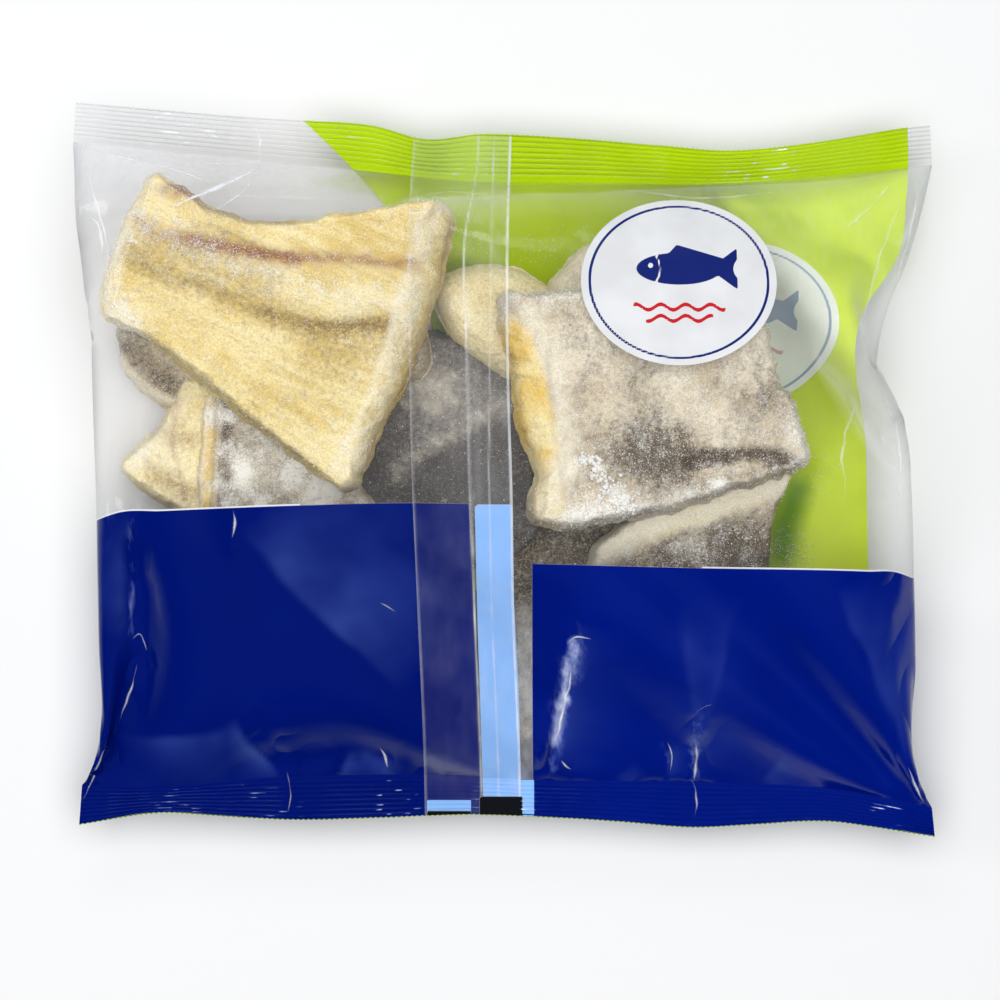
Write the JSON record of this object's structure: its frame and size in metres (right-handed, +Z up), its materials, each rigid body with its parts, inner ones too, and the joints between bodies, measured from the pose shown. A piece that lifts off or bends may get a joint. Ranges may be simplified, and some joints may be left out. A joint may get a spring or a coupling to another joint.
{
  "type": "clear pillow bag of salted dried cod pieces",
  "caption": "Sealed clear pillow bag with blue and green print fields, crimped ends and a back seam flap, holding pieces of salted dried cod; lies flat, seam side up.",
  "frame": {"origin": "on the surface the bag lies on, under the middle of its outline", "axes": "+X along the crimped ends, +Y from the blue end of the print to the green end, +Z up from the surface the bag lies on to its seam side"},
  "size_m": [0.2501, 0.2132, 0.046],
  "materials": {
    "clear_film": "clear glossy packaging film, slightly wrinkled",
    "printed_film": "glossy film printed opaque deep blue, with light blue, lime green, white and black fields",
    "cod_flesh": "dull dried and salted fish flesh, cream to yellow",
    "cod_skin": "dull grey-brown fish skin under a frost of salt",
    "salt": "coarse white salt grains"
  },
  "bodies": {
    "root": {"bag": "clear_film"}
  },
  "joints": []
}
